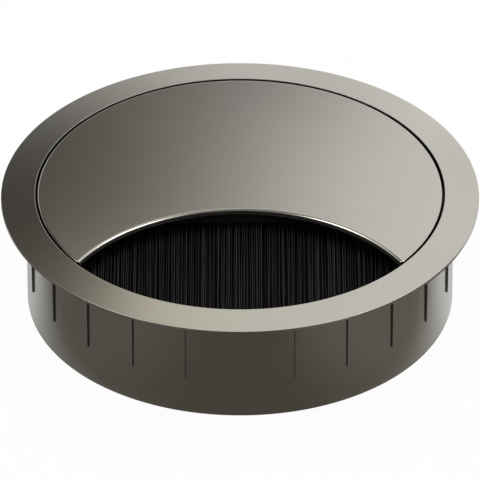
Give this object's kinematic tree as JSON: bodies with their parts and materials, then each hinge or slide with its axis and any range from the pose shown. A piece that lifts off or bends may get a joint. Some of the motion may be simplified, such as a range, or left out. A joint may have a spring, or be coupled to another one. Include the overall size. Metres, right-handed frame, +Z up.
{
  "type": "cable grommet",
  "caption": "Round metal desk cable outlet with a wide flange, a short ribbed sleeve and a lift-out cap whose cut-out is closed by a black brush.",
  "frame": {"origin": "centre of the sleeve's lower edge, on the surface that the part stands on", "axes": "+Z up along the sleeve's axis, +X to the right seen from the opening's side, -Y towards the opening for the cables"},
  "size_m": [0.089, 0.089, 0.0228],
  "materials": {
    "plated_zinc": "die-cast zinc, satin black nickel plating",
    "black_nylon": "black nylon filament",
    "galvanised_steel": "bright zinc plated",
    "black_aluminium": "aluminium, black anodised"
  },
  "bodies": {
    "root": {"ring": "plated_zinc", "cap": "plated_zinc", "bristles": "black_nylon", "brush_channel": "black_aluminium", "core_wire": "galvanised_steel", "brush_holder": "black_aluminium", "holder_screws": "galvanised_steel"}
  },
  "joints": []
}
